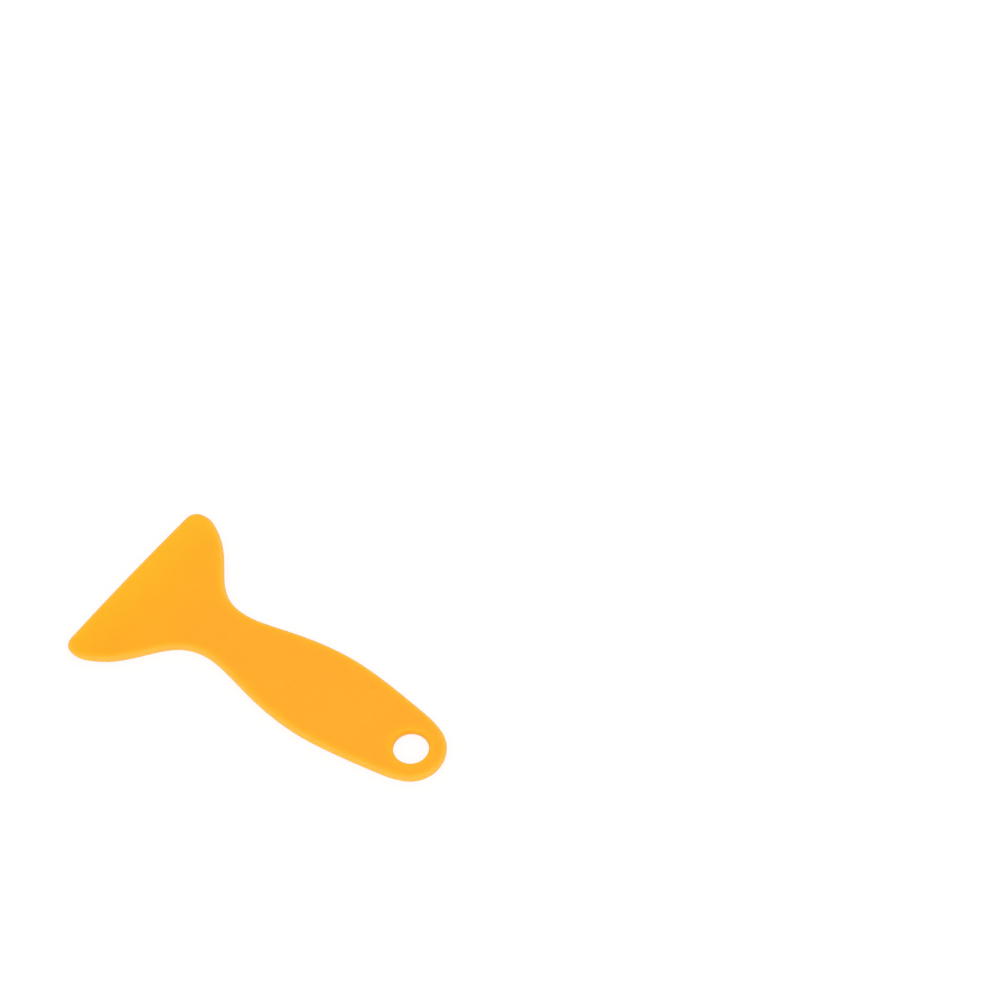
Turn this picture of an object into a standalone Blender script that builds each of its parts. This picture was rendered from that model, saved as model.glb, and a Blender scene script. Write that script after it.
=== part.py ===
"""Squeegee applicator: a hand squeegee for smoothing down self-adhesive film, moulded in one piece.

It is a flat plate with a rounded rim: a wide blade with a slightly bowed edge, a narrow waist, a handle
with a full grip, and a hole to hang it by. It lies on its flat underside, which is relieved towards the
blade edge. X runs along the length, from the blade edge at -X to the end of the handle at +X, Y across it
and Z up. The origin is on the plane of the underside, in the middle of the length.
"""

import math

import bmesh
import bpy
from mathutils import Vector

# Driving dimensions, in metres. The first three follow each other along the length, from the blade edge.
BLADE_LENGTH = 0.0370  # blade edge to the waist
NECK_LENGTH = 0.0363  # waist to the fullest part of the grip
GRIP_LENGTH = 0.0389  # fullest part of the grip to the end of the handle
BLADE_WIDTH = 0.0588
BLADE_EDGE_RADIUS = 1.0  # the blade edge bows out a little, on this radius
CORNER_RADIUS = 0.0037  # round at each end of the blade edge
CORNER_TURN = math.radians(76.5)  # how far the outline turns from +Y before the shoulder takes over
SHOULDER_RADIUS = 0.0082  # fuller round from the corner to the flank, past the widest part of the blade
FLANK_SLANT = math.radians(24.7)  # how far the flank slants in from the length where the shoulder ends
WAIST_WIDTH = 0.0173
GRIP_WIDTH = 0.0280
TAPER_SLANT = math.radians(9.1)  # how far the handle's side slants in where its taper ends
HAUNCH_RADIUS = 0.0266  # fuller round from the taper to the end of the handle
THICKNESS = 0.0025
RIM_RADIUS = 0.00115
BLADE_EDGE_THICKNESS = 0.0009
RELIEF_LENGTH = 0.0140  # the underside rises over this length to thin the blade
HOLE_DIAMETER = 0.0100
HOLE_RIM_RADIUS = 0.0006
END_WALL = 0.0049  # plastic between the hole and the round end of the handle
END_HALF_TURN = math.radians(66.8)  # how far that round runs to each side of the tip

# Fullness of each curve at its two ends, as a share of the curve's own run along the length.
FLANK_FULLNESS = (0.556, 0.508)
NECK_FULLNESS = (0.237, 0.487)
TAPER_FULLNESS = (0.30, 0.20)

# Limits and fineness of the facets.
MOST_RIM_SHARE = 0.48  # a rim's radius stays under this share of the thickness
OUTLINE_STEPS = 20  # to each curve of the outline
RIM_STEPS = 4  # to each quarter round of the rim
HOLE_STEPS = 64  # round the hole
HOLE_RIM_STEPS = 4
WELD_DISTANCE = 0.000001
SMOOTH_ANGLE = math.radians(30)

# Finish of the plastic.
ORANGE = (0.99, 0.43, 0.026, 1.0)
ROUGHNESS = 0.42

LENGTH = BLADE_LENGTH + NECK_LENGTH + GRIP_LENGTH
BLADE_EDGE_X = -LENGTH / 2
END_RADIUS = HOLE_DIAMETER / 2 + END_WALL
HOLE_X = LENGTH / 2 - END_RADIUS


def clear_scene():
    for old in list(bpy.data.objects):
        bpy.data.objects.remove(old, do_unlink=True)


def new_collection(name):
    collection = bpy.data.collections.new(name)
    bpy.context.scene.collection.children.link(collection)
    return collection


def new_plastic(name):
    material = bpy.data.materials.new(name)
    material.use_nodes = True
    material.diffuse_color = ORANGE
    shader = material.node_tree.nodes["Principled BSDF"]
    shader.inputs["Base Color"].default_value = ORANGE
    shader.inputs["Roughness"].default_value = ROUGHNESS
    shader.inputs["Metallic"].default_value = 0.0
    return material


def heading(turn):
    """Direction of the outline after a turn towards +X. It runs along +Y where it hasn't turned."""
    return Vector((math.sin(turn), math.cos(turn)))


def outward(turn):
    """Direction out of the plate, square to the heading."""
    return Vector((-math.cos(turn), math.sin(turn)))


def arc_handle(radius, turn):
    """Handle length that makes a curve an arc."""
    return radius * math.tan(turn / 4) * 4 / 3


def half_outline():
    """The outline's curve points on the +Y side, from the blade edge to the last one before the tip.

    Each is (point, incoming handle, outgoing handle), with the handles as offsets from the point.
    The blade edge, the corner and the shoulder are arcs, each tangent to the next, and so are the haunch
    and the end of the handle.
    """

    def along(length):
        return Vector((length, 0.0))

    shoulder_turn = math.pi / 2 + FLANK_SLANT
    widening = SHOULDER_RADIUS - CORNER_RADIUS
    corner_y = BLADE_WIDTH / 2 - SHOULDER_RADIUS + widening * math.sin(CORNER_TURN)
    edge_turn = math.asin(corner_y / (BLADE_EDGE_RADIUS - CORNER_RADIUS))
    edge_centre = along(BLADE_EDGE_X + BLADE_EDGE_RADIUS)
    corner_centre = edge_centre + (BLADE_EDGE_RADIUS - CORNER_RADIUS) * outward(edge_turn)
    shoulder_centre = corner_centre - widening * outward(CORNER_TURN)
    taper_turn = math.pi / 2 + TAPER_SLANT
    end_turn = math.pi - END_HALF_TURN
    haunch_centre = along(HOLE_X) - (HAUNCH_RADIUS - END_RADIUS) * outward(end_turn)

    corner = corner_centre + CORNER_RADIUS * outward(edge_turn)
    shoulder = corner_centre + CORNER_RADIUS * outward(CORNER_TURN)
    flank = shoulder_centre + SHOULDER_RADIUS * outward(shoulder_turn)
    waist = Vector((BLADE_EDGE_X + BLADE_LENGTH, WAIST_WIDTH / 2))
    grip = Vector((waist.x + NECK_LENGTH, GRIP_WIDTH / 2))
    haunch = haunch_centre + HAUNCH_RADIUS * outward(taper_turn)
    end = haunch_centre + HAUNCH_RADIUS * outward(end_turn)

    edge_handle = arc_handle(BLADE_EDGE_RADIUS, 2 * edge_turn)
    corner_handle = arc_handle(CORNER_RADIUS, CORNER_TURN - edge_turn)
    shoulder_handle = arc_handle(SHOULDER_RADIUS, shoulder_turn - CORNER_TURN)
    haunch_handle = arc_handle(HAUNCH_RADIUS, end_turn - taper_turn)
    end_handle = arc_handle(END_RADIUS, END_HALF_TURN)
    flank_run = waist.x - flank.x
    taper_run = haunch.x - grip.x
    return [
        (corner, -edge_handle * heading(edge_turn), corner_handle * heading(edge_turn)),
        (shoulder, -corner_handle * heading(CORNER_TURN), shoulder_handle * heading(CORNER_TURN)),
        (
            flank,
            -shoulder_handle * heading(shoulder_turn),
            FLANK_FULLNESS[0] * flank_run * heading(shoulder_turn),
        ),
        (waist, -along(FLANK_FULLNESS[1] * flank_run), along(NECK_FULLNESS[0] * NECK_LENGTH)),
        (grip, -along(NECK_FULLNESS[1] * NECK_LENGTH), along(TAPER_FULLNESS[0] * taper_run)),
        (
            haunch,
            -TAPER_FULLNESS[1] * taper_run * heading(taper_turn),
            haunch_handle * heading(taper_turn),
        ),
        (end, -haunch_handle * heading(end_turn), end_handle * heading(end_turn)),
    ]


def whole_outline():
    """The closed outline: the +Y half, the tip of the handle, and the half mirrored to -Y."""
    half = half_outline()
    tip_handle = Vector((0, arc_handle(END_RADIUS, END_HALF_TURN)))
    tip = (Vector((LENGTH / 2, 0)), tip_handle, -tip_handle)

    def mirrored(vector):
        return Vector((vector.x, -vector.y))

    other_half = [(mirrored(point), mirrored(leaving), mirrored(coming)) for point, coming, leaving in half]
    return half + [tip] + other_half[::-1]


def plate_curve(name):
    """A filled curve of the outline, as thick as the plate, with its rim rounded inside the outline."""
    rim_radius = min(RIM_RADIUS, MOST_RIM_SHARE * THICKNESS)
    curve = bpy.data.curves.new(name, "CURVE")
    curve.dimensions = "2D"
    curve.fill_mode = "BOTH"
    curve.resolution_u = OUTLINE_STEPS
    curve.extrude = THICKNESS / 2 - rim_radius
    curve.bevel_depth = rim_radius
    curve.bevel_resolution = RIM_STEPS - 1
    curve.offset = -rim_radius

    outline = whole_outline()
    spline = curve.splines.new("BEZIER")
    spline.use_cyclic_u = True
    spline.bezier_points.add(len(outline) - 1)
    for control, (point, coming, leaving) in zip(spline.bezier_points, outline):
        control.handle_left_type = "FREE"
        control.handle_right_type = "FREE"
        control.co = point.to_3d()
        control.handle_left = (point + coming).to_3d()
        control.handle_right = (point + leaving).to_3d()
    return bpy.data.objects.new(name, curve)


def mesh_of_curve(curve_object, collection):
    """The curve's solid as a mesh with its caps welded on. The curve is removed."""
    collection.objects.link(curve_object)
    bpy.context.view_layer.update()
    graph = bpy.context.evaluated_depsgraph_get()
    mesh = bpy.data.meshes.new_from_object(curve_object.evaluated_get(graph))
    bpy.data.objects.remove(curve_object, do_unlink=True)
    shape = bmesh.new()
    shape.from_mesh(mesh)
    bmesh.ops.remove_doubles(shape, verts=shape.verts, dist=WELD_DISTANCE)
    bmesh.ops.translate(shape, verts=shape.verts, vec=(0, 0, THICKNESS / 2))
    shape.to_mesh(mesh)
    shape.free()
    return mesh


def relieve_blade(mesh):
    """Lifts the underside evenly towards the blade edge, so that the blade thins and its top stays flat."""
    start_x = BLADE_EDGE_X + RELIEF_LENGTH
    thinning = 1 - BLADE_EDGE_THICKNESS / THICKNESS
    shape = bmesh.new()
    shape.from_mesh(mesh)
    everything = shape.verts[:] + shape.edges[:] + shape.faces[:]
    bmesh.ops.bisect_plane(
        shape, geom=everything, dist=WELD_DISTANCE, plane_co=(start_x, 0, 0), plane_no=(1, 0, 0)
    )
    for vertex in shape.verts:
        run = max(0.0, start_x - vertex.co.x)
        below_top = THICKNESS - vertex.co.z
        vertex.co.z = THICKNESS - below_top * (1 - thinning * run / RELIEF_LENGTH)
    shape.to_mesh(mesh)
    shape.free()


def hole_profile():
    """Half section of the hole with both rims rounded, from the axis above the plate to the axis below it."""
    radius = HOLE_DIAMETER / 2
    rim = min(HOLE_RIM_RADIUS, MOST_RIM_SHARE * THICKNESS)
    turns = [math.pi / 2 * step / HOLE_RIM_STEPS for step in range(HOLE_RIM_STEPS + 1)]
    upper = [(radius + rim - rim * math.sin(turn), THICKNESS - rim + rim * math.cos(turn)) for turn in turns]
    lower = [(across, THICKNESS - height) for across, height in reversed(upper)]
    top = 2 * THICKNESS
    bottom = -THICKNESS
    return [(0, top), (radius + rim, top)] + upper + lower + [(radius + rim, bottom), (0, bottom)]


def new_hole_cutter(collection):
    """The hole as a turned solid."""
    profile = hole_profile()
    mesh = bpy.data.meshes.new("hang_hole_cutter")
    links = [(index, index + 1) for index in range(len(profile) - 1)]
    mesh.from_pydata([(across, 0, height) for across, height in profile], links, [])
    cutter = bpy.data.objects.new("hang_hole_cutter", mesh)
    cutter.location = (HOLE_X, 0, 0)
    cutter.hide_render = True
    cutter.display_type = "WIRE"
    collection.objects.link(cutter)
    turning = cutter.modifiers.new("Turn", "SCREW")
    turning.steps = HOLE_STEPS
    turning.render_steps = HOLE_STEPS
    turning.use_merge_vertices = True
    turning.merge_threshold = WELD_DISTANCE
    return cutter


def new_squeegee(parts, cutters):
    mesh = mesh_of_curve(plate_curve("squeegee_outline"), parts)
    relieve_blade(mesh)
    mesh.name = "squeegee_body"
    mesh.materials.clear()
    mesh.materials.append(new_plastic("orange_polypropylene"))
    mesh.shade_smooth()
    mesh.set_sharp_from_angle(angle=SMOOTH_ANGLE)
    body = bpy.data.objects.new("squeegee_body", mesh)
    parts.objects.link(body)
    boring = body.modifiers.new("Hang hole", "BOOLEAN")
    boring.operation = "DIFFERENCE"
    boring.solver = "EXACT"
    boring.object = new_hole_cutter(cutters)
    return body


def main():
    clear_scene()
    parts = new_collection("Squeegee applicator")
    cutters = new_collection("Squeegee applicator cutters")
    new_squeegee(parts, cutters)


main()
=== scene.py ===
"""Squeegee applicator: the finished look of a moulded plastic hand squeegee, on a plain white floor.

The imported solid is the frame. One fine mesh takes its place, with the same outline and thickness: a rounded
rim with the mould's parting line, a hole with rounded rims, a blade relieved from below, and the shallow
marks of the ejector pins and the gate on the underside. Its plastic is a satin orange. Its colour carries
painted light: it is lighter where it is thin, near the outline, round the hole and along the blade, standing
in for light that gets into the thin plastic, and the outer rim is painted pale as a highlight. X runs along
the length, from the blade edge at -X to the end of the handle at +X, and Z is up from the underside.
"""

import math
from collections import namedtuple

import bmesh
import bpy
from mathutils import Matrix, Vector
from mathutils.geometry import delaunay_2d_cdt
from mathutils.kdtree import KDTree


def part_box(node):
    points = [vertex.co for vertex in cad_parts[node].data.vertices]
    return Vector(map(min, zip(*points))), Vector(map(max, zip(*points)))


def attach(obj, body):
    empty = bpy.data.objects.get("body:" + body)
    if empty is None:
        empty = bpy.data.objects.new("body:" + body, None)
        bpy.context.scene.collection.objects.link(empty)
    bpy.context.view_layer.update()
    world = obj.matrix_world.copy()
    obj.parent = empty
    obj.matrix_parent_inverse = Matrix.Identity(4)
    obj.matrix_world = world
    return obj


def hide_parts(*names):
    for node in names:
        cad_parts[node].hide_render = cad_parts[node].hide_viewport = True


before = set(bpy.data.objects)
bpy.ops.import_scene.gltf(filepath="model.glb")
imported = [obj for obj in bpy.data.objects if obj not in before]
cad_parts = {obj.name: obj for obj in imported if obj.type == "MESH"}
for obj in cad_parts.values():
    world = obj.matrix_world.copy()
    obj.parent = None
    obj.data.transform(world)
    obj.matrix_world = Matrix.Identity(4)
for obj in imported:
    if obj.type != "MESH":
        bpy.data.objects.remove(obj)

bl_info = {
    "name": "Squeegee applicator",
    "version": (1, 0, 0),
    "blender": (4, 5, 0),
    "location": "View3D > Sidebar > Squeegee",
    "description": "Builds a moulded plastic squeegee and the white stage that it lies on",
    "category": "Object",
}

NODE = "squeegee_body"
MM = 0.001
LOWEST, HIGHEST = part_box(NODE)
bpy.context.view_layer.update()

# Fullness of each curve of the outline at its two ends, as a share of its own run along the length.
FLANK_FULLNESS = (0.556, 0.508)
NECK_FULLNESS = (0.237, 0.487)
TAPER_FULLNESS = (0.30, 0.20)

# Fineness of the mesh: steps along each stretch of half the outline, round the hole, over each quarter
# round of a rim, and round each mark.
EDGE_STEPS = 30
CORNER_STEPS = 16
SHOULDER_STEPS = 14
FLANK_STEPS = 60
NECK_STEPS = 60
TAPER_STEPS = 45
HAUNCH_STEPS = 14
END_STEPS = 24
HOLE_STEPS = 96
RIM_STEPS = 8
MARK_STEPS = 40

FACE_SPACING = 1.5 * MM  # between the points of a flat face
RIM_SUPPORT = 0.3 * MM  # width of the band beside a rim that keeps the flat face's shading flat
CUT_TOLERANCE = 0.05 * MM  # a point this near to a cut counts as on it
CREASE_ANGLE = math.radians(40)  # a bend sharper than this stays crisp

# Settings of the triangulation.
KEEP_INSIDE = 1  # keeps only the triangles inside the outline
JOIN_DISTANCE = 1e-5  # points nearer than this, in mm, become one

# Marks on the underside, from the ejector pins and the gate of the mould. The gate leaves a shallow dish
# with its stub in the middle, each given as (radius, rise into the plastic) from the outside in.
PIN_PLACES = ((-38 * MM, 11 * MM), (-38 * MM, -11 * MM), (8 * MM, 0.0), (32 * MM, 0.0))
PIN_WALL = 0.08 * MM  # run of the sloping wall round a pin's mark
GATE_PLACE = (-15 * MM, 0.0)
GATE_DISH = ((2.4 * MM, 0.0), (2.0 * MM, 0.14 * MM), (1.4 * MM, 0.22 * MM), (0.7 * MM, 0.24 * MM))
GATE_STUB = ((0.6 * MM, 0.12 * MM), (0.45 * MM, 0.07 * MM))

# Specks in the plastic's top face, which fade out between two radii.
SPECK_PLACES = ((-36.0 * MM, 7.5 * MM), (6.4 * MM, -3.7 * MM), (26.3 * MM, 9.3 * MM))
SPECK_CORE = 0.1 * MM
SPECK_REACH = 0.7 * MM
SPECK_STRENGTH = 0.25

# Texture of the plastic. Each scale is in repeats to the metre.
NOISE_MIDDLE = (0.3, 0.7)  # the clouding and the satin follow this stretch of the noise
CLOUD_SCALE = 55.0
CLOUD_DETAIL = 3.0
CLOUD_SWING = 0.01  # share by which the clouding lightens and darkens the colour
SATIN_SCALE = 240.0
SATIN_DETAIL = 4.0
SATIN_SWING = 0.04  # how far the roughness wanders to each side
GRAIN_SCALE = 4500.0
GRAIN_DETAIL = 2.0
GRAIN_DEPTH = 0.07 * MM
GRAIN_STRENGTH = 0.8
REFRACTION = 1.49  # index of refraction
GLOSS = 0.22  # specular level
SCATTER_SHARES = (1.0, 0.5, 0.12)  # of the scatter depth, for red, green and blue light

# Soft lights, each under the name of its power in the stage's settings: its place, and the side of its
# square.
SOFT_LIGHTS = {
    "key": ((-0.3, -1.3, 1.6), 1.4),
    "fill": ((1.5, -0.5, 1.1), 1.2),
    "back": ((-0.4, 1.4, 1.5), 1.4),
}
WHITE = (1.0, 1.0, 1.0)
FLOOR_REACH = 3.0  # from the middle of the floor to each side
FLOOR_GAP = 0.05 * MM  # between the floor and the underside
CLIP_START = 0.01  # nearest distance that the camera shows

# Sockets of the Mix node that carry colours.
MIX_FIRST = 6
MIX_SECOND = 7
MIX_RESULT = 2

Sample = namedtuple("Sample", "point outward")
Mark = namedtuple("Mark", "place profile")


def length(name, millimetres, description):
    return bpy.props.FloatProperty(
        name=name, description=description, default=millimetres * MM, min=0.0, precision=5, unit="LENGTH"
    )


def share(name, default, description):
    return bpy.props.FloatProperty(
        name=name, description=description, default=default, min=0.0, max=1.0, subtype="FACTOR"
    )


def angle(name, degrees, description):
    return bpy.props.FloatProperty(
        name=name, description=description, default=math.radians(degrees), unit="ROTATION"
    )


def power(name, watts, description):
    return bpy.props.FloatProperty(name=name, description=description, default=watts, min=0.0, unit="POWER")


def colour(name, default, description):
    return bpy.props.FloatVectorProperty(
        name=name, description=description, default=default, size=3, min=0.0, max=1.0, subtype="COLOR"
    )


class SqueegeeShape(bpy.types.PropertyGroup):
    """Sizes of the moulding. Its length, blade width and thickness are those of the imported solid."""

    blade_length: length("Blade length", 37.0, "From the blade edge to the waist")
    neck_length: length("Neck length", 36.3, "From the waist to the fullest part of the grip")
    edge_radius: length("Blade edge radius", 1000.0, "The blade edge bows out a little, on this radius")
    corner_radius: length("Corner radius", 3.7, "Round at each end of the blade edge")
    corner_turn: angle("Corner turn", 76.5, "How far the outline turns from +Y before the shoulder starts")
    shoulder_radius: length("Shoulder radius", 8.2, "Fuller round from the corner to the flank")
    flank_slant: angle("Flank slant", 24.7, "How far the flank slants in where the shoulder ends")
    waist_width: length("Waist width", 17.3, "Across the waist")
    grip_width: length("Grip width", 28.0, "Across the fullest part of the grip")
    taper_slant: angle("Taper slant", 9.1, "How far the handle's side slants in where its taper ends")
    haunch_radius: length("Haunch radius", 26.6, "Fuller round from the taper to the end of the handle")
    end_radius: length("End radius", 9.9, "Round end of the handle, about the centre of the hole")
    end_half_turn: angle("End half turn", 66.8, "How far the round end runs to each side of the tip")
    hole_diameter: length("Hole diameter", 10.0, "Across the hanging hole")
    hole_rim: length("Hole rim radius", 0.6, "Rounding of the hole's rims")
    rim_radius: length("Rim radius", 1.12, "Rounding of the outer rim")
    parting_line: length("Parting line", 0.03, "How far the mould's parting line stands out of the rim")
    blade_edge: length("Blade edge thickness", 0.9, "Thickness at the blade edge")
    relief_length: length("Relief length", 14.0, "Length over which the underside rises to the blade edge")
    pin_radius: length("Pin radius", 2.0, "Radius of an ejector pin's mark on the underside")
    pin_depth: length("Pin depth", 0.1, "Depth of an ejector pin's mark")


class SqueegeeFinish(bpy.types.PropertyGroup):
    """Colours and surface of the plastic; the glow and rim colours are painted light."""

    body: colour("Body colour", (0.960, 0.397, 0.010), "The plastic at its full thickness")
    blade: colour("Blade colour", (0.960, 0.402, 0.001), "The plastic at the blade edge, a little deeper")
    # Glow colour: painted light, laid near the edges, round the hole and along the blade.
    glow: colour("Glow colour", (0.960, 0.462, 0.004), "The plastic near an edge, where light gets in")
    # Rim colour: a painted highlight that makes the outer rim pale.
    rim: colour("Rim colour", (0.960, 0.492, 0.052), "The plastic of the outer rim, the palest")
    speck: colour("Speck colour", (0.80, 0.30, 0.008), "Specks in the plastic")
    roughness: share("Roughness", 0.42, "Satin of the moulded face")
    translucency: share("Translucency", 0.35, "Share of the light that scatters inside the plastic")
    scatter: length("Scatter depth", 1.2, "How far light scatters inside the plastic")
    blade_fade: length("Blade fade", 33.6, "How far from its edge the blade's colour fades into the body's")
    # Reach and strength of the painted light and of the painted rim highlight.
    painted_glow_width: length("Glow width", 3.1, "How far in from the outline the plastic glows")
    rim_highlight_width: length("Pale rim width", 1.6, "How far in from the outline the pale rim runs")
    blade_painted_glow: share("Blade glow", 0.6, "Strength of the glow along the relieved part of the blade")
    blade_painted_drift: share("Blade drift", 0.5, "How much more the blade glows at its +Y end than at the other")
    hole_painted_glow: share("Hole glow", 0.72, "Strength of the glow round the hole, where less light gets in")
    hole_painted_glow_width: length("Hole glow width", 3.0, "How far out from the hole the plastic glows")


class SqueegeeStage(bpy.types.PropertyGroup):
    """Floor, light and camera."""

    camera_azimuth: angle("Camera azimuth", 33.809, "Direction of view: 0 looks along +Y, and 90 along -X")
    camera_elevation: angle("Camera elevation", 53.507, "How far above the horizon the camera stands")
    camera_lens: bpy.props.FloatProperty(
        name="Camera lens", description="Focal length on a 36 mm sensor", default=60.822, unit="CAMERA"
    )
    camera_place: bpy.props.FloatVectorProperty(
        name="Camera place",
        description="Where the camera stands",
        default=(0.190558, -0.171175, 0.417371),
        size=3,
        subtype="TRANSLATION",
    )
    sky: share("Sky strength", 0.69, "Even light from all round")
    key: power("Key light", 9.9, "Power of the soft light on the near side")
    fill: power("Fill light", 8.5, "Power of the soft light by the end of the handle")
    back: power("Back light", 6.5, "Power of the soft light on the far side")
    floor: colour("Floor colour", (0.98, 0.98, 0.98), "The plain floor")
    floor_lift: share("Floor lift", 0.85, "Share of plain white that the camera sees in the near floor")
    floor_near: length("Near floor", 150.0, "Radius within which the floor shows the shadow most")
    floor_far: length("Far floor", 600.0, "Radius beyond which the floor is as white as the sky")


def along(run):
    return Vector((run, 0.0))


def heading(turn):
    """Direction of the outline after a turn towards +X. It runs along +Y where it hasn't turned."""
    return Vector((math.sin(turn), math.cos(turn)))


def outward(turn):
    """Direction out of the plate, square to the heading."""
    return Vector((-math.cos(turn), math.sin(turn)))


def spokes(count):
    """Directions evenly spread round a circle."""
    turns = [2 * math.pi * step / count for step in range(count)]
    return [Vector((math.cos(turn), math.sin(turn))) for turn in turns]


def arc(centre, radius, turn_from, turn_to, steps):
    """Samples along an arc of the outline, up to but not including its end."""
    turns = [turn_from + (turn_to - turn_from) * step / steps for step in range(steps)]
    return [Sample(centre + radius * outward(turn), outward(turn)) for turn in turns]


def cubic(start, leave, arrive, end, steps):
    """Samples along a cubic curve, up to but not including its end. Its outside is on the left."""
    samples = []
    for step in range(steps):
        t = step / steps
        u = 1 - t
        point = u**3 * start + 3 * u * u * t * leave + 3 * u * t * t * arrive + t**3 * end
        slope = u * u * (leave - start) + 2 * u * t * (arrive - leave) + t * t * (end - arrive)
        samples.append(Sample(point, Vector((-slope.y, slope.x)).normalized()))
    return samples


def hole_centre(shape):
    return Vector((HIGHEST.x - shape.end_radius, 0.0))


def hole_outline(shape):
    """Samples round the hole, whose outside is towards its centre."""
    radius = shape.hole_diameter / 2
    return [Sample(hole_centre(shape) + radius * spoke, -spoke) for spoke in spokes(HOLE_STEPS)]


def half_outline(shape):
    """Samples of the outline on the +Y side, from the middle of the blade edge to the tip of the handle.

    The blade edge, the corner and the shoulder are arcs, each tangent to the next, and so are the haunch
    and the end of the handle.
    """
    flank_turn = math.pi / 2 + shape.flank_slant
    widening = shape.shoulder_radius - shape.corner_radius
    corner_reach = shape.edge_radius - shape.corner_radius
    corner_y = HIGHEST.y - shape.shoulder_radius + widening * math.sin(shape.corner_turn)
    edge_turn = math.asin(corner_y / corner_reach)
    edge_centre = along(LOWEST.x + shape.edge_radius)
    corner_centre = edge_centre + corner_reach * outward(edge_turn)
    shoulder_centre = corner_centre - widening * outward(shape.corner_turn)
    taper_turn = math.pi / 2 + shape.taper_slant
    end_turn = math.pi - shape.end_half_turn
    haunch_centre = hole_centre(shape) - (shape.haunch_radius - shape.end_radius) * outward(end_turn)

    flank = shoulder_centre + shape.shoulder_radius * outward(flank_turn)
    waist = Vector((LOWEST.x + shape.blade_length, shape.waist_width / 2))
    grip = Vector((waist.x + shape.neck_length, shape.grip_width / 2))
    haunch = haunch_centre + shape.haunch_radius * outward(taper_turn)
    flank_run = waist.x - flank.x
    neck_run = shape.neck_length
    taper_run = haunch.x - grip.x
    return (
        arc(edge_centre, shape.edge_radius, 0.0, edge_turn, EDGE_STEPS)
        + arc(corner_centre, shape.corner_radius, edge_turn, shape.corner_turn, CORNER_STEPS)
        + arc(shoulder_centre, shape.shoulder_radius, shape.corner_turn, flank_turn, SHOULDER_STEPS)
        + cubic(
            flank,
            flank + FLANK_FULLNESS[0] * flank_run * heading(flank_turn),
            waist - along(FLANK_FULLNESS[1] * flank_run),
            waist,
            FLANK_STEPS,
        )
        + cubic(
            waist,
            waist + along(NECK_FULLNESS[0] * neck_run),
            grip - along(NECK_FULLNESS[1] * neck_run),
            grip,
            NECK_STEPS,
        )
        + cubic(
            grip,
            grip + along(TAPER_FULLNESS[0] * taper_run),
            haunch - TAPER_FULLNESS[1] * taper_run * heading(taper_turn),
            haunch,
            TAPER_STEPS,
        )
        + arc(haunch_centre, shape.haunch_radius, taper_turn, end_turn, HAUNCH_STEPS)
        + arc(hole_centre(shape), shape.end_radius, end_turn, math.pi, END_STEPS)
        + [Sample(along(HIGHEST.x), outward(math.pi))]
    )


def whole_outline(shape):
    """Samples of the closed outline, with the -Y side mirrored from the +Y side."""
    half = half_outline(shape)

    def mirrored(vector):
        return Vector((vector.x, -vector.y))

    other = [Sample(mirrored(sample.point), mirrored(sample.outward)) for sample in half[1:-1]]
    return half + other[::-1]


def rim_profile(radius, ridge):
    """Section of a rim from the top face to the underside, as (distance in from the edge, height).

    Each face runs into a quarter round, and the parting line stands out at half height.
    """
    thickness = HIGHEST.z
    turns = [math.pi / 2 * step / RIM_STEPS for step in range(RIM_STEPS + 1)]
    upper = [
        (ridge + radius * (1 - math.sin(turn)), thickness - radius * (1 - math.cos(turn))) for turn in turns
    ]
    lower = [(inset, thickness - height) for inset, height in reversed(upper)]
    if ridge == 0:
        return upper + lower
    shoulder = (ridge, thickness / 2 + 2 * ridge)
    crest = [(0.0, thickness / 2 + ridge / 2), (0.0, thickness / 2 - ridge / 2)]
    return upper + [shoulder] + crest + [(ridge, thickness - shoulder[1])] + lower


def ring_links(start, count):
    """Pairs of indices round a closed ring of points, whose first point has the index start."""
    return [(start + index, start + (index + 1) % count) for index in range(count)]


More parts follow.
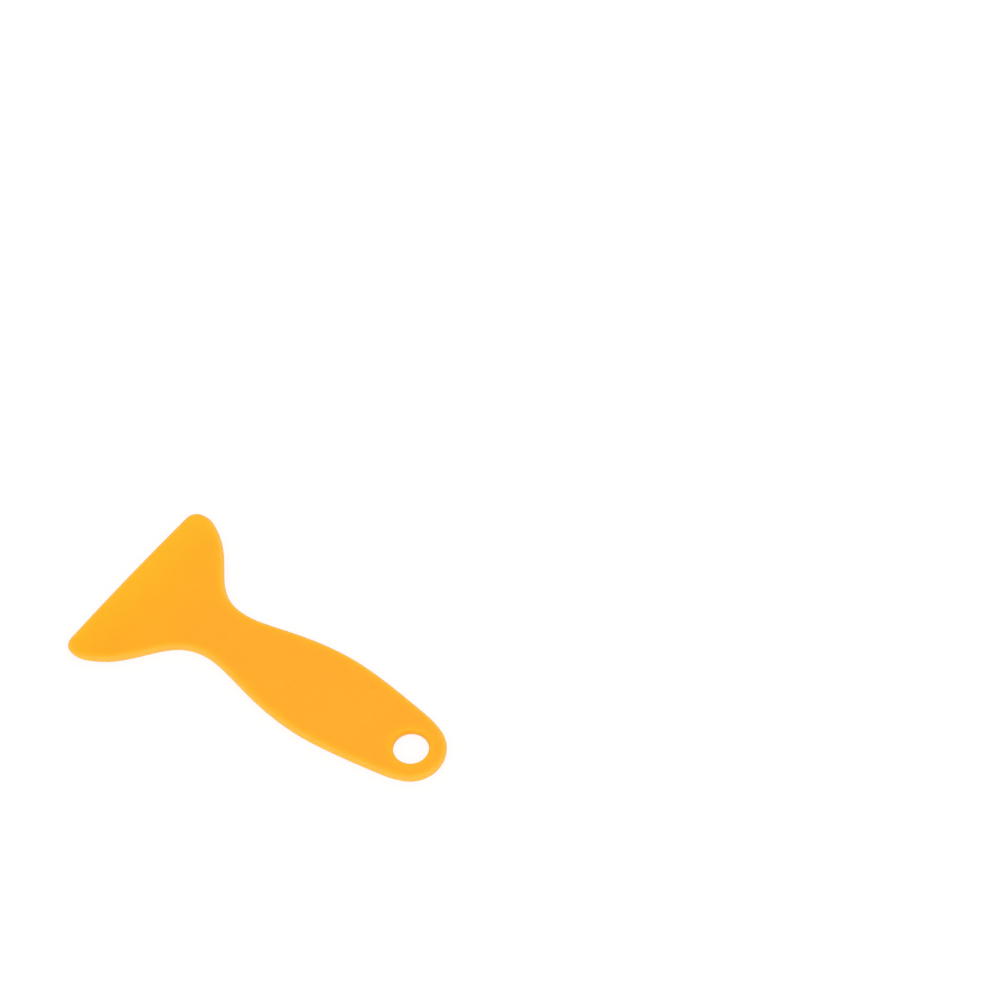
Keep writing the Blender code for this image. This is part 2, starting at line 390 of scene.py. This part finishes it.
class Moulding:
    """The squeegee's mesh in the making."""

    def __init__(self, shape):
        self.shape = shape
        self.bm = bmesh.new()
        self.edge_distance = self.bm.verts.layers.float.new("edge_distance")
        self.outline = whole_outline(shape)
        self.tree = KDTree(len(self.outline))
        for index, sample in enumerate(self.outline):
            self.tree.insert(sample.point.to_3d(), index)
        self.tree.balance()

    def from_outline(self, point):
        """How far a point lies inside the outline."""
        nearest, index, _ = self.tree.find(point.to_3d())
        return (nearest.to_2d() - point).dot(self.outline[index].outward)

    def from_hole(self, point):
        """How far a point lies outside the hole."""
        return (point - hole_centre(self.shape)).length - self.shape.hole_diameter / 2

    def vertex(self, point, height):
        vertex = self.bm.verts.new((point.x, point.y, height))
        vertex[self.edge_distance] = self.from_outline(point)
        return vertex

    def rim(self, samples, radius, ridge):
        """The rim along an edge, with a narrow band of both faces beside it.

        Returns the inner rings of the two bands, on the top face and on the underside.
        """
        profile = rim_profile(radius, ridge)
        band = profile[0][0] + RIM_SUPPORT
        profile = [(band, HIGHEST.z)] + profile + [(band, LOWEST.z)]
        rings = []
        for inset, height in profile:
            rings.append([self.vertex(sample.point - inset * sample.outward, height) for sample in samples])
        for upper, lower in zip(rings, rings[1:]):
            for index, after in ring_links(0, len(samples)):
                self.bm.faces.new((upper[index], upper[after], lower[after], lower[index]))
        return rings[0], rings[-1]

    def face_places(self, marks):
        """Places evenly spread over a flat face, clear of its edges and marks."""
        margin = self.shape.rim_radius + RIM_SUPPORT + FACE_SPACING / 2
        row_step = FACE_SPACING * math.sqrt(3) / 2
        rows = int((HIGHEST.x - LOWEST.x) / row_step)
        columns = int(HIGHEST.y / FACE_SPACING) + 1
        places = []
        for row in range(rows):
            stagger = FACE_SPACING / 2 * (row % 2)
            for column in range(-columns, columns + 1):
                place = Vector((LOWEST.x + row * row_step, column * FACE_SPACING + stagger))
                if min(self.from_outline(place), self.from_hole(place)) <= margin:
                    continue
                gaps = [(place - mark.place).length - mark.profile[0][0] for mark in marks]
                if all(gap > FACE_SPACING / 2 for gap in gaps):
                    places.append(place)
        return places

    def face(self, outer_border, hole_border, height, marks=()):
        """Fills a flat face between its two borders, with the rings of each mark worked into it."""
        spots = []
        links = []
        for border in (outer_border, hole_border):
            links += ring_links(len(spots), len(border))
            spots += border
        spots += [self.vertex(place, height) for place in self.face_places(marks)]
        for mark in marks:
            for radius, rise in mark.profile:
                links += ring_links(len(spots), MARK_STEPS)
                ring = [mark.place + radius * spoke for spoke in spokes(MARK_STEPS)]
                spots += [self.vertex(place, height + rise) for place in ring]
            deepest_rise = mark.profile[-1][1]
            spots.append(self.vertex(mark.place, height + deepest_rise))

        places = [spot.co.to_2d() / MM for spot in spots]
        _, _, triangles, origins, _, _ = delaunay_2d_cdt(places, links, [], KEEP_INSIDE, JOIN_DISTANCE)
        round_hole = set(hole_border)
        for triangle in triangles:
            if not all(origins[index] for index in triangle):
                raise RuntimeError("A mark on the underside runs into an edge or another mark")
            corners = [spots[origins[index][0]] for index in triangle]
            if not round_hole.issuperset(corners):
                self.bm.faces.new(corners)

    def relieve_blade(self):
        """Lifts the underside evenly towards the blade edge, from a crisp line. The top face stays flat."""
        start_x = LOWEST.x + self.shape.relief_length
        thinning = 1 - self.shape.blade_edge / HIGHEST.z
        everything = self.bm.verts[:] + self.bm.edges[:] + self.bm.faces[:]
        cut = bmesh.ops.bisect_plane(
            self.bm, geom=everything, dist=CUT_TOLERANCE, plane_co=(start_x, 0, 0), plane_no=(1, 0, 0)
        )
        for item in cut["geom_cut"]:
            if isinstance(item, bmesh.types.BMEdge):
                item.smooth = False
        for vertex in self.bm.verts:
            run = max(0.0, start_x - vertex.co.x)
            kept = 1 - thinning * run / self.shape.relief_length
            vertex.co.z = HIGHEST.z - (HIGHEST.z - vertex.co.z) * kept

    def finished(self, name):
        """The mesh, shaded smooth except at its sharp bends."""
        bmesh.ops.recalc_face_normals(self.bm, faces=self.bm.faces[:])
        for edge in self.bm.edges:
            if not edge.is_manifold:
                raise RuntimeError("The moulding isn't closed")
            if edge.calc_face_angle() > CREASE_ANGLE:
                edge.smooth = False
        mesh = bpy.data.meshes.new(name)
        self.bm.to_mesh(mesh)
        self.bm.free()
        mesh.shade_smooth()
        return mesh


def underside_marks(shape):
    pin = [(shape.pin_radius, 0.0), (shape.pin_radius - PIN_WALL, shape.pin_depth)]
    pins = [Mark(Vector(place), pin) for place in PIN_PLACES]
    return pins + [Mark(Vector(GATE_PLACE), GATE_DISH + GATE_STUB)]


def moulded_mesh(shape):
    work = Moulding(shape)
    outer_top, outer_under = work.rim(work.outline, shape.rim_radius, shape.parting_line)
    hole_top, hole_under = work.rim(hole_outline(shape), shape.hole_rim, 0.0)
    work.face(outer_top, hole_top, HIGHEST.z)
    work.face(outer_under, hole_under, LOWEST.z, underside_marks(shape))
    work.relieve_blade()
    return work.finished("squeegee_moulding")


class Nodes:
    """Adds shader nodes to a tree. An input is a value or another node's output."""

    def __init__(self, owner):
        owner.use_nodes = True
        self.tree = owner.node_tree
        self.tree.nodes.clear()

    def feed(self, socket, value):
        if isinstance(value, bpy.types.NodeSocket):
            self.tree.links.new(value, socket)
        else:
            socket.default_value = value

    def add(self, kind, settings=None, **inputs):
        node = self.tree.nodes.new("ShaderNode" + kind)
        for name, value in (settings or {}).items():
            setattr(node, name, value)
        for name, value in inputs.items():
            self.feed(node.inputs[name.replace("_", " ")], value)
        return node

    def math(self, operation, first, second):
        node = self.add("Math", {"operation": operation})
        self.feed(node.inputs[0], first)
        self.feed(node.inputs[1], second)
        return node.outputs[0]

    def total(self, first, *others):
        for other in others:
            first = self.math("ADD", first, other)
        return first

    def distance(self, first, second):
        node = self.add("VectorMath", {"operation": "DISTANCE"})
        self.feed(node.inputs[0], first)
        self.feed(node.inputs[1], second)
        return node.outputs["Value"]

    def mix(self, factor, first, second):
        node = self.add("Mix", {"data_type": "RGBA"}, Factor=factor)
        self.feed(node.inputs[MIX_FIRST], first)
        self.feed(node.inputs[MIX_SECOND], second)
        return node.outputs[MIX_RESULT]

    def noise(self, place, scale, detail):
        return self.add("TexNoise", Vector=place, Scale=scale, Detail=detail).outputs["Fac"]

    def ramp(self, value, low, high, to_low, to_high, kind="SMOOTHSTEP"):
        node = self.add("MapRange", {"interpolation_type": kind}, Value=value)
        for name, limit in zip(("From Min", "From Max", "To Min", "To Max"), (low, high, to_low, to_high)):
            node.inputs[name].default_value = limit
        return node.outputs[0]


def opaque(rgb):
    return (*rgb, 1.0)


def tone_with_painted_light(nodes, place, shape, finish):
    """Colour of the plastic, deeper along the blade, with painted light where it is thin or near an edge."""
    parts = nodes.add("SeparateXYZ", Vector=place).outputs
    edge = nodes.add("Attribute", {"attribute_name": "edge_distance"}).outputs["Fac"]
    # Painted light near the outline.
    painted_edge_light = nodes.ramp(edge, 0.0, finish.painted_glow_width, 1.0, 0.0)
    # Painted highlight: the outer rim is made pale.
    painted_rim_highlight = nodes.ramp(edge, 0.0, finish.rim_highlight_width, 1.0, 0.0)

    in_plan = nodes.add("CombineXYZ", X=parts["X"], Y=parts["Y"]).outputs["Vector"]
    from_axis = nodes.distance(in_plan, hole_centre(shape).to_3d())
    hole_radius = shape.hole_diameter / 2
    # Painted light round the hole.
    painted_hole_light = nodes.ramp(
        from_axis, hole_radius + shape.hole_rim, hole_radius + finish.hole_painted_glow_width, finish.hole_painted_glow, 0.0
    )

    # Painted light along the thinned blade.
    relieved = nodes.ramp(parts["X"], LOWEST.x, LOWEST.x + shape.relief_length, finish.blade_painted_glow, 0.0)
    along_blade = nodes.ramp(parts["X"], LOWEST.x, LOWEST.x + finish.blade_fade, 1.0, 0.0, "LINEAR")
    # Painted light: the blade is lighter towards its +Y end.
    across_blade = nodes.ramp(parts["Y"], LOWEST.y, HIGHEST.y, 0.0, finish.blade_painted_drift, "LINEAR")
    painted_drift_share = nodes.math("MULTIPLY", along_blade, across_blade)

    plain = nodes.mix(along_blade, opaque(finish.body), opaque(finish.blade))
    # Where the painted light is laid, the colour runs to the glow colour; on the outer rim, to the pale rim
    # colour.
    painted_light_share = nodes.total(painted_edge_light, painted_hole_light, relieved, painted_drift_share)
    with_painted_light = nodes.mix(painted_light_share, plain, opaque(finish.glow))
    return nodes.mix(painted_rim_highlight, with_painted_light, opaque(finish.rim))


def specked(nodes, place, tone, finish):
    """The colour with its small specks."""
    spots = []
    for x, y in SPECK_PLACES:
        away = nodes.distance(place, (x, y, HIGHEST.z))
        spots.append(nodes.ramp(away, SPECK_CORE, SPECK_REACH, SPECK_STRENGTH, 0.0))
    return nodes.mix(nodes.total(*spots), tone, opaque(finish.speck))


def orange_plastic(shape, finish):
    material = bpy.data.materials.new("satin_orange_polypropylene")
    material.diffuse_color = opaque(finish.body)
    nodes = Nodes(material)
    place = nodes.add("TexCoord").outputs["Object"]

    clouds = nodes.noise(place, CLOUD_SCALE, CLOUD_DETAIL)
    cloud = nodes.ramp(clouds, *NOISE_MIDDLE, 1 - CLOUD_SWING, 1 + CLOUD_SWING)
    tone = tone_with_painted_light(nodes, place, shape, finish)
    clouded = nodes.add("HueSaturation", Color=tone, Value=cloud).outputs["Color"]
    base = specked(nodes, place, clouded, finish)

    sheen = nodes.noise(place, SATIN_SCALE, SATIN_DETAIL)
    satin = nodes.ramp(
        sheen, *NOISE_MIDDLE, finish.roughness - SATIN_SWING, finish.roughness + SATIN_SWING
    )
    grain = nodes.noise(place, GRAIN_SCALE, GRAIN_DETAIL)
    bump = nodes.add("Bump", Height=grain, Strength=GRAIN_STRENGTH, Distance=GRAIN_DEPTH)
    shader = nodes.add(
        "BsdfPrincipled",
        {"subsurface_method": "RANDOM_WALK"},
        Base_Color=base,
        Roughness=satin,
        IOR=REFRACTION,
        Normal=bump.outputs["Normal"],
        Subsurface_Weight=finish.translucency,
        Subsurface_Radius=SCATTER_SHARES,
        Subsurface_Scale=finish.scatter,
        Specular_IOR_Level=GLOSS,
    )
    nodes.add("OutputMaterial", Surface=shader.outputs["BSDF"])
    return material


def seen_directly(nodes):
    """1 for rays from the camera, off a glossy surface or through glass, and 0 for other rays."""
    path = nodes.add("LightPath").outputs
    reflected = nodes.math("MAXIMUM", path["Is Glossy Ray"], path["Is Transmission Ray"])
    return nodes.math("MAXIMUM", path["Is Camera Ray"], reflected)


def white_floor(stage):
    """A floor that keeps a soft shadow by the squeegee and is plain white further off."""
    material = bpy.data.materials.new("plain_white_floor")
    nodes = Nodes(material)
    paint = nodes.add("BsdfDiffuse", Color=opaque(stage.floor))
    white = nodes.add("Emission", Color=opaque(WHITE), Strength=1.0)
    away = nodes.distance(nodes.add("TexCoord").outputs["Object"], (0.0, 0.0, 0.0))
    lift = nodes.ramp(away, stage.floor_near, stage.floor_far, stage.floor_lift, 1.0)
    mixed = nodes.add("MixShader", Fac=nodes.math("MULTIPLY", seen_directly(nodes), lift))
    nodes.feed(mixed.inputs[1], paint.outputs[0])
    nodes.feed(mixed.inputs[2], white.outputs[0])
    nodes.add("OutputMaterial", Surface=mixed.outputs[0])
    return material


def white_sky(stage):
    """Even light from all round, which is plain white to the camera."""
    world = bpy.data.worlds.new("soft_white_room")
    nodes = Nodes(world)
    strength = nodes.ramp(seen_directly(nodes), 0.0, 1.0, stage.sky, 1.0, "LINEAR")
    sky = nodes.add("Background", Color=opaque(WHITE), Strength=strength)
    nodes.add("OutputWorld", Surface=sky.outputs[0])
    return world


def soft_light(name, place, side, watts):
    """A square soft light, aimed at the squeegee."""
    lamp = bpy.data.lights.new(name, "AREA")
    lamp.shape = "SQUARE"
    lamp.size = side
    lamp.energy = watts
    light = bpy.data.objects.new(name, lamp)
    light.location = place
    light.rotation_euler = (-Vector(place)).to_track_quat("-Z", "Y").to_euler()
    bpy.context.scene.collection.objects.link(light)


def floor_plane(stage):
    bm = bmesh.new()
    bmesh.ops.create_grid(bm, x_segments=1, y_segments=1, size=FLOOR_REACH)
    mesh = bpy.data.meshes.new("floor")
    bm.to_mesh(mesh)
    bm.free()
    mesh.materials.append(white_floor(stage))
    floor = bpy.data.objects.new("floor", mesh)
    floor.location.z = LOWEST.z - FLOOR_GAP
    bpy.context.scene.collection.objects.link(floor)
    return floor


def photo_camera(stage):
    data = bpy.data.cameras.new("camera")
    data.lens = stage.camera_lens
    data.clip_start = CLIP_START
    camera = bpy.data.objects.new("camera", data)
    camera.location = stage.camera_place
    level = math.cos(stage.camera_elevation)
    look = Vector(
        (
            -math.sin(stage.camera_azimuth) * level,
            math.cos(stage.camera_azimuth) * level,
            -math.sin(stage.camera_elevation),
        )
    )
    camera.rotation_euler = look.to_track_quat("-Z", "Y").to_euler()
    bpy.context.scene.collection.objects.link(camera)
    return camera


class SQUEEGEE_OT_moulding(bpy.types.Operator):
    """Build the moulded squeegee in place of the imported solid"""

    bl_idname = "squeegee.moulding"
    bl_label = "Moulding"

    def execute(self, context):
        shape = context.scene.squeegee_shape
        mesh = moulded_mesh(shape)
        mesh.materials.append(orange_plastic(shape, context.scene.squeegee_finish))
        piece = bpy.data.objects.new("squeegee_moulding", mesh)
        context.scene.collection.objects.link(piece)
        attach(piece, "root")
        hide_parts(NODE)
        return {"FINISHED"}


class SQUEEGEE_OT_stage(bpy.types.Operator):
    """Set up the floor, the soft light and the camera"""

    bl_idname = "squeegee.stage"
    bl_label = "Stage"

    def execute(self, context):
        stage = context.scene.squeegee_stage
        floor_plane(stage)
        context.scene.world = white_sky(stage)
        for name, (place, side) in SOFT_LIGHTS.items():
            soft_light(name + "_light", place, side, getattr(stage, name))
        context.scene.camera = photo_camera(stage)
        context.scene.view_settings.view_transform = "Standard"
        return {"FINISHED"}


class SQUEEGEE_PT_sidebar(bpy.types.Panel):
    """Squeegee tools in the 3D view's sidebar"""

    bl_label = "Squeegee"
    bl_space_type = "VIEW_3D"
    bl_region_type = "UI"
    bl_category = "Squeegee"

    def draw(self, context):
        for name, group in GROUPS.items():
            box = self.layout.box()
            box.label(text=name.replace("_", " ").capitalize())
            for setting in group.__annotations__:
                box.prop(getattr(context.scene, name), setting)
        self.layout.operator(SQUEEGEE_OT_stage.bl_idname)
        self.layout.operator(SQUEEGEE_OT_moulding.bl_idname)


GROUPS = {
    "squeegee_shape": SqueegeeShape,
    "squeegee_finish": SqueegeeFinish,
    "squeegee_stage": SqueegeeStage,
}
CLASSES = (*GROUPS.values(), SQUEEGEE_OT_moulding, SQUEEGEE_OT_stage, SQUEEGEE_PT_sidebar)


def register():
    for cls in CLASSES:
        bpy.utils.register_class(cls)
    for name, group in GROUPS.items():
        setattr(bpy.types.Scene, name, bpy.props.PointerProperty(type=group))


def unregister():
    for name in GROUPS:
        delattr(bpy.types.Scene, name)
    for cls in reversed(CLASSES):
        bpy.utils.unregister_class(cls)


def main():
    register()
    bpy.ops.squeegee.stage()
    bpy.ops.squeegee.moulding()


if __name__ == "__main__":
    main()
